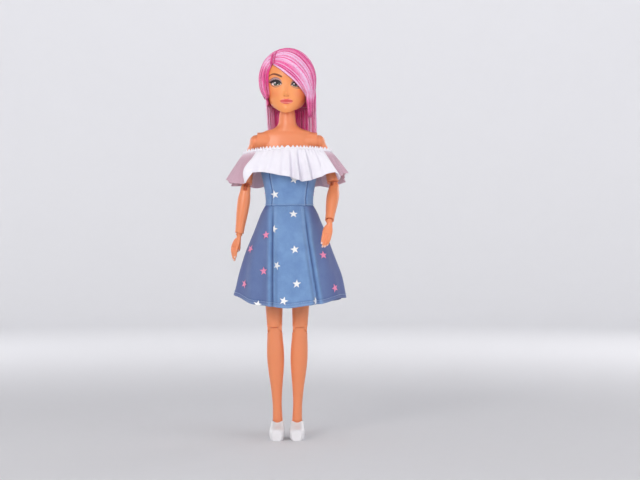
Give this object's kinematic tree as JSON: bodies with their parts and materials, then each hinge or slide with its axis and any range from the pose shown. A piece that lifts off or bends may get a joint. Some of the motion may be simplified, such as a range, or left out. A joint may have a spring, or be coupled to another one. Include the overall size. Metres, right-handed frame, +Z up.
{
  "type": "fashion doll",
  "caption": "Jointed standing fashion doll with long pink hair, a denim dress with a white off-shoulder ruffle and white shoes.",
  "frame": {"origin": "middle of the bounding box at the ground, between the shoe soles", "axes": "+Z up along the body, -Y the way the doll faces, +X the doll's left"},
  "size_m": [0.0906, 0.0633, 0.2902],
  "materials": {
    "body_plastic": "satin",
    "skin_vinyl": "satin",
    "joint_plastic": "satin",
    "steel_pin": "plain",
    "pink_hair": "silky straight fibre",
    "denim": "light washed denim",
    "chiffon": "thin, half clear",
    "white_vinyl": "satin",
    "closure_tape": "hook and loop"
  },
  "bodies": {
    "torso": {"torso_front": "body_plastic", "torso_back": "body_plastic", "dress_bodice": "denim", "dress_skirt": "denim", "back_fastener": "closure_tape", "ruffle_elastic": "chiffon", "ruffle": "chiffon"},
    "neck": {"neck_knob": "joint_plastic"},
    "head": {"head_shell": "skin_vinyl", "hair_crown": "pink_hair", "hair_fringe": "pink_hair", "hair_side_lock": "pink_hair", "hair_back": "pink_hair"},
    "shoulder_left": {"shoulder_peg_left": "joint_plastic"},
    "upper_arm_left": {"upper_arm_left": "body_plastic", "shoulder_pin_left": "steel_pin"},
    "elbow_left": {"elbow_peg_left": "joint_plastic"},
    "forearm_left": {"forearm_left": "body_plastic", "elbow_pin_left": "steel_pin"},
    "wrist_left": {"wrist_peg_left": "joint_plastic"},
    "hand_left": {"hand_left": "skin_vinyl", "wrist_pin_left": "steel_pin"},
    "hip_left": {"hip_peg_left": "joint_plastic"},
    "thigh_left": {"thigh_left": "body_plastic", "hip_pin_left": "steel_pin", "knee_pin_left": "steel_pin"},
    "shin_left": {"shin_left": "body_plastic", "shoe_left": "white_vinyl"},
    "shoulder_right": {"shoulder_peg_right": "joint_plastic"},
    "upper_arm_right": {"upper_arm_right": "body_plastic", "shoulder_pin_right": "steel_pin"},
    "elbow_right": {"elbow_peg_right": "joint_plastic"},
    "forearm_right": {"forearm_right": "body_plastic", "elbow_pin_right": "steel_pin"},
    "wrist_right": {"wrist_peg_right": "joint_plastic"},
    "hand_right": {"hand_right": "skin_vinyl", "wrist_pin_right": "steel_pin"},
    "hip_right": {"hip_peg_right": "joint_plastic"},
    "thigh_right": {"thigh_right": "body_plastic", "hip_pin_right": "steel_pin", "knee_pin_right": "steel_pin"},
    "shin_right": {"shin_right": "body_plastic", "shoe_right": "white_vinyl"}
  },
  "joints": [
    {"name": "head_turn", "type": "hinge", "parent": "torso", "child": "neck", "pos_m": [0, 0, 0.2476], "axis": [0, 0, 1], "range_deg": [-66, 74], "deforming": ["hair_back"]},
    {"name": "head_nod", "type": "hinge", "parent": "neck", "child": "head", "pos_m": [0, 0, 0.2476], "axis": [0.9976, -0.0698, 0], "range_deg": [-12, 12]},
    {"name": "shoulder_swing_left", "type": "hinge", "parent": "torso", "child": "shoulder_left", "pos_m": [0.0226, 0, 0.2205], "axis": [-1, 0, 0], "range_deg": [-60, 165], "deforming": ["ruffle", "ruffle_elastic"]},
    {"name": "shoulder_spread_left", "type": "hinge", "parent": "shoulder_left", "child": "upper_arm_left", "pos_m": [0.0226, 0, 0.2205], "axis": [0, -1, 0], "range_deg": [-12, 45]},
    {"name": "elbow_twist_left", "type": "hinge", "parent": "upper_arm_left", "child": "elbow_left", "pos_m": [0.03483, 0, 0.18709], "axis": [0.247, 0, -0.969], "range_deg": [-65, 20]},
    {"name": "elbow_bend_left", "type": "hinge", "parent": "elbow_left", "child": "forearm_left", "pos_m": [0.03483, 0, 0.18709], "axis": [-0.888, 0.4003, -0.2263], "range_deg": [-45, 40]},
    {"name": "wrist_twist_left", "type": "hinge", "parent": "forearm_left", "child": "wrist_left", "pos_m": [0.03112, -0.02299, 0.16096], "axis": [0.1059, 0.657, 0.7465], "range_deg": [-90, 90]},
    {"name": "wrist_bend_left", "type": "hinge", "parent": "wrist_left", "child": "hand_left", "pos_m": [0.03112, -0.02299, 0.16096], "axis": [0.7533, -0.543, 0.371], "range_deg": [-55, 28]},
    {"name": "hip_swing_left", "type": "hinge", "parent": "torso", "child": "hip_left", "pos_m": [0.0112, 0, 0.15], "axis": [-1, 0, 0], "range_deg": [-15, 85], "deforming": ["dress_skirt"]},
    {"name": "hip_spread_left", "type": "hinge", "parent": "hip_left", "child": "thigh_left", "pos_m": [0.0112, 0, 0.15], "axis": [0, -1, 0], "range_deg": [0, 28]},
    {"name": "knee_bend_left", "type": "hinge", "parent": "thigh_left", "child": "shin_left", "pos_m": [0.0094, 0, 0.08252], "axis": [0.9996, 0, -0.0267], "range_deg": [-3, 91]},
    {"name": "shoulder_swing_right", "type": "hinge", "parent": "torso", "child": "shoulder_right", "pos_m": [-0.0226, 0, 0.2205], "axis": [-1, 0, 0], "range_deg": [-60, 165]},
    {"name": "shoulder_spread_right", "type": "hinge", "parent": "shoulder_right", "child": "upper_arm_right", "pos_m": [-0.0226, 0, 0.2205], "axis": [0, 1, 0], "range_deg": [-6, 52]},
    {"name": "elbow_twist_right", "type": "hinge", "parent": "upper_arm_right", "child": "elbow_right", "pos_m": [-0.03097, 0, 0.18592], "axis": [0.1357, 0, 0.9907], "range_deg": [-45, 45]},
    {"name": "elbow_bend_right", "type": "hinge", "parent": "elbow_right", "child": "forearm_right", "pos_m": [-0.03097, 0, 0.18592], "axis": [-0.9907, 0, 0.1357], "range_deg": [-4, 82]},
    {"name": "wrist_twist_right", "type": "hinge", "parent": "forearm_right", "child": "wrist_right", "pos_m": [-0.03571, -0.00244, 0.15132], "axis": [0.1354, 0.0698, 0.9883], "range_deg": [-90, 90]},
    {"name": "wrist_bend_right", "type": "hinge", "parent": "wrist_right", "child": "hand_right", "pos_m": [-0.03571, -0.00244, 0.15132], "axis": [0.1814, -0.9824, 0.0445], "range_deg": [-44, 42]},
    {"name": "hip_swing_right", "type": "hinge", "parent": "torso", "child": "hip_right", "pos_m": [-0.0112, 0, 0.15], "axis": [-1, 0, 0], "range_deg": [-15, 85]},
    {"name": "hip_spread_right", "type": "hinge", "parent": "hip_right", "child": "thigh_right", "pos_m": [-0.0112, 0, 0.15], "axis": [0, 1, 0], "range_deg": [0, 28]},
    {"name": "knee_bend_right", "type": "hinge", "parent": "thigh_right", "child": "shin_right", "pos_m": [-0.0094, 0, 0.08252], "axis": [0.9996, 0, 0.0267], "range_deg": [-3, 91]}
  ]
}
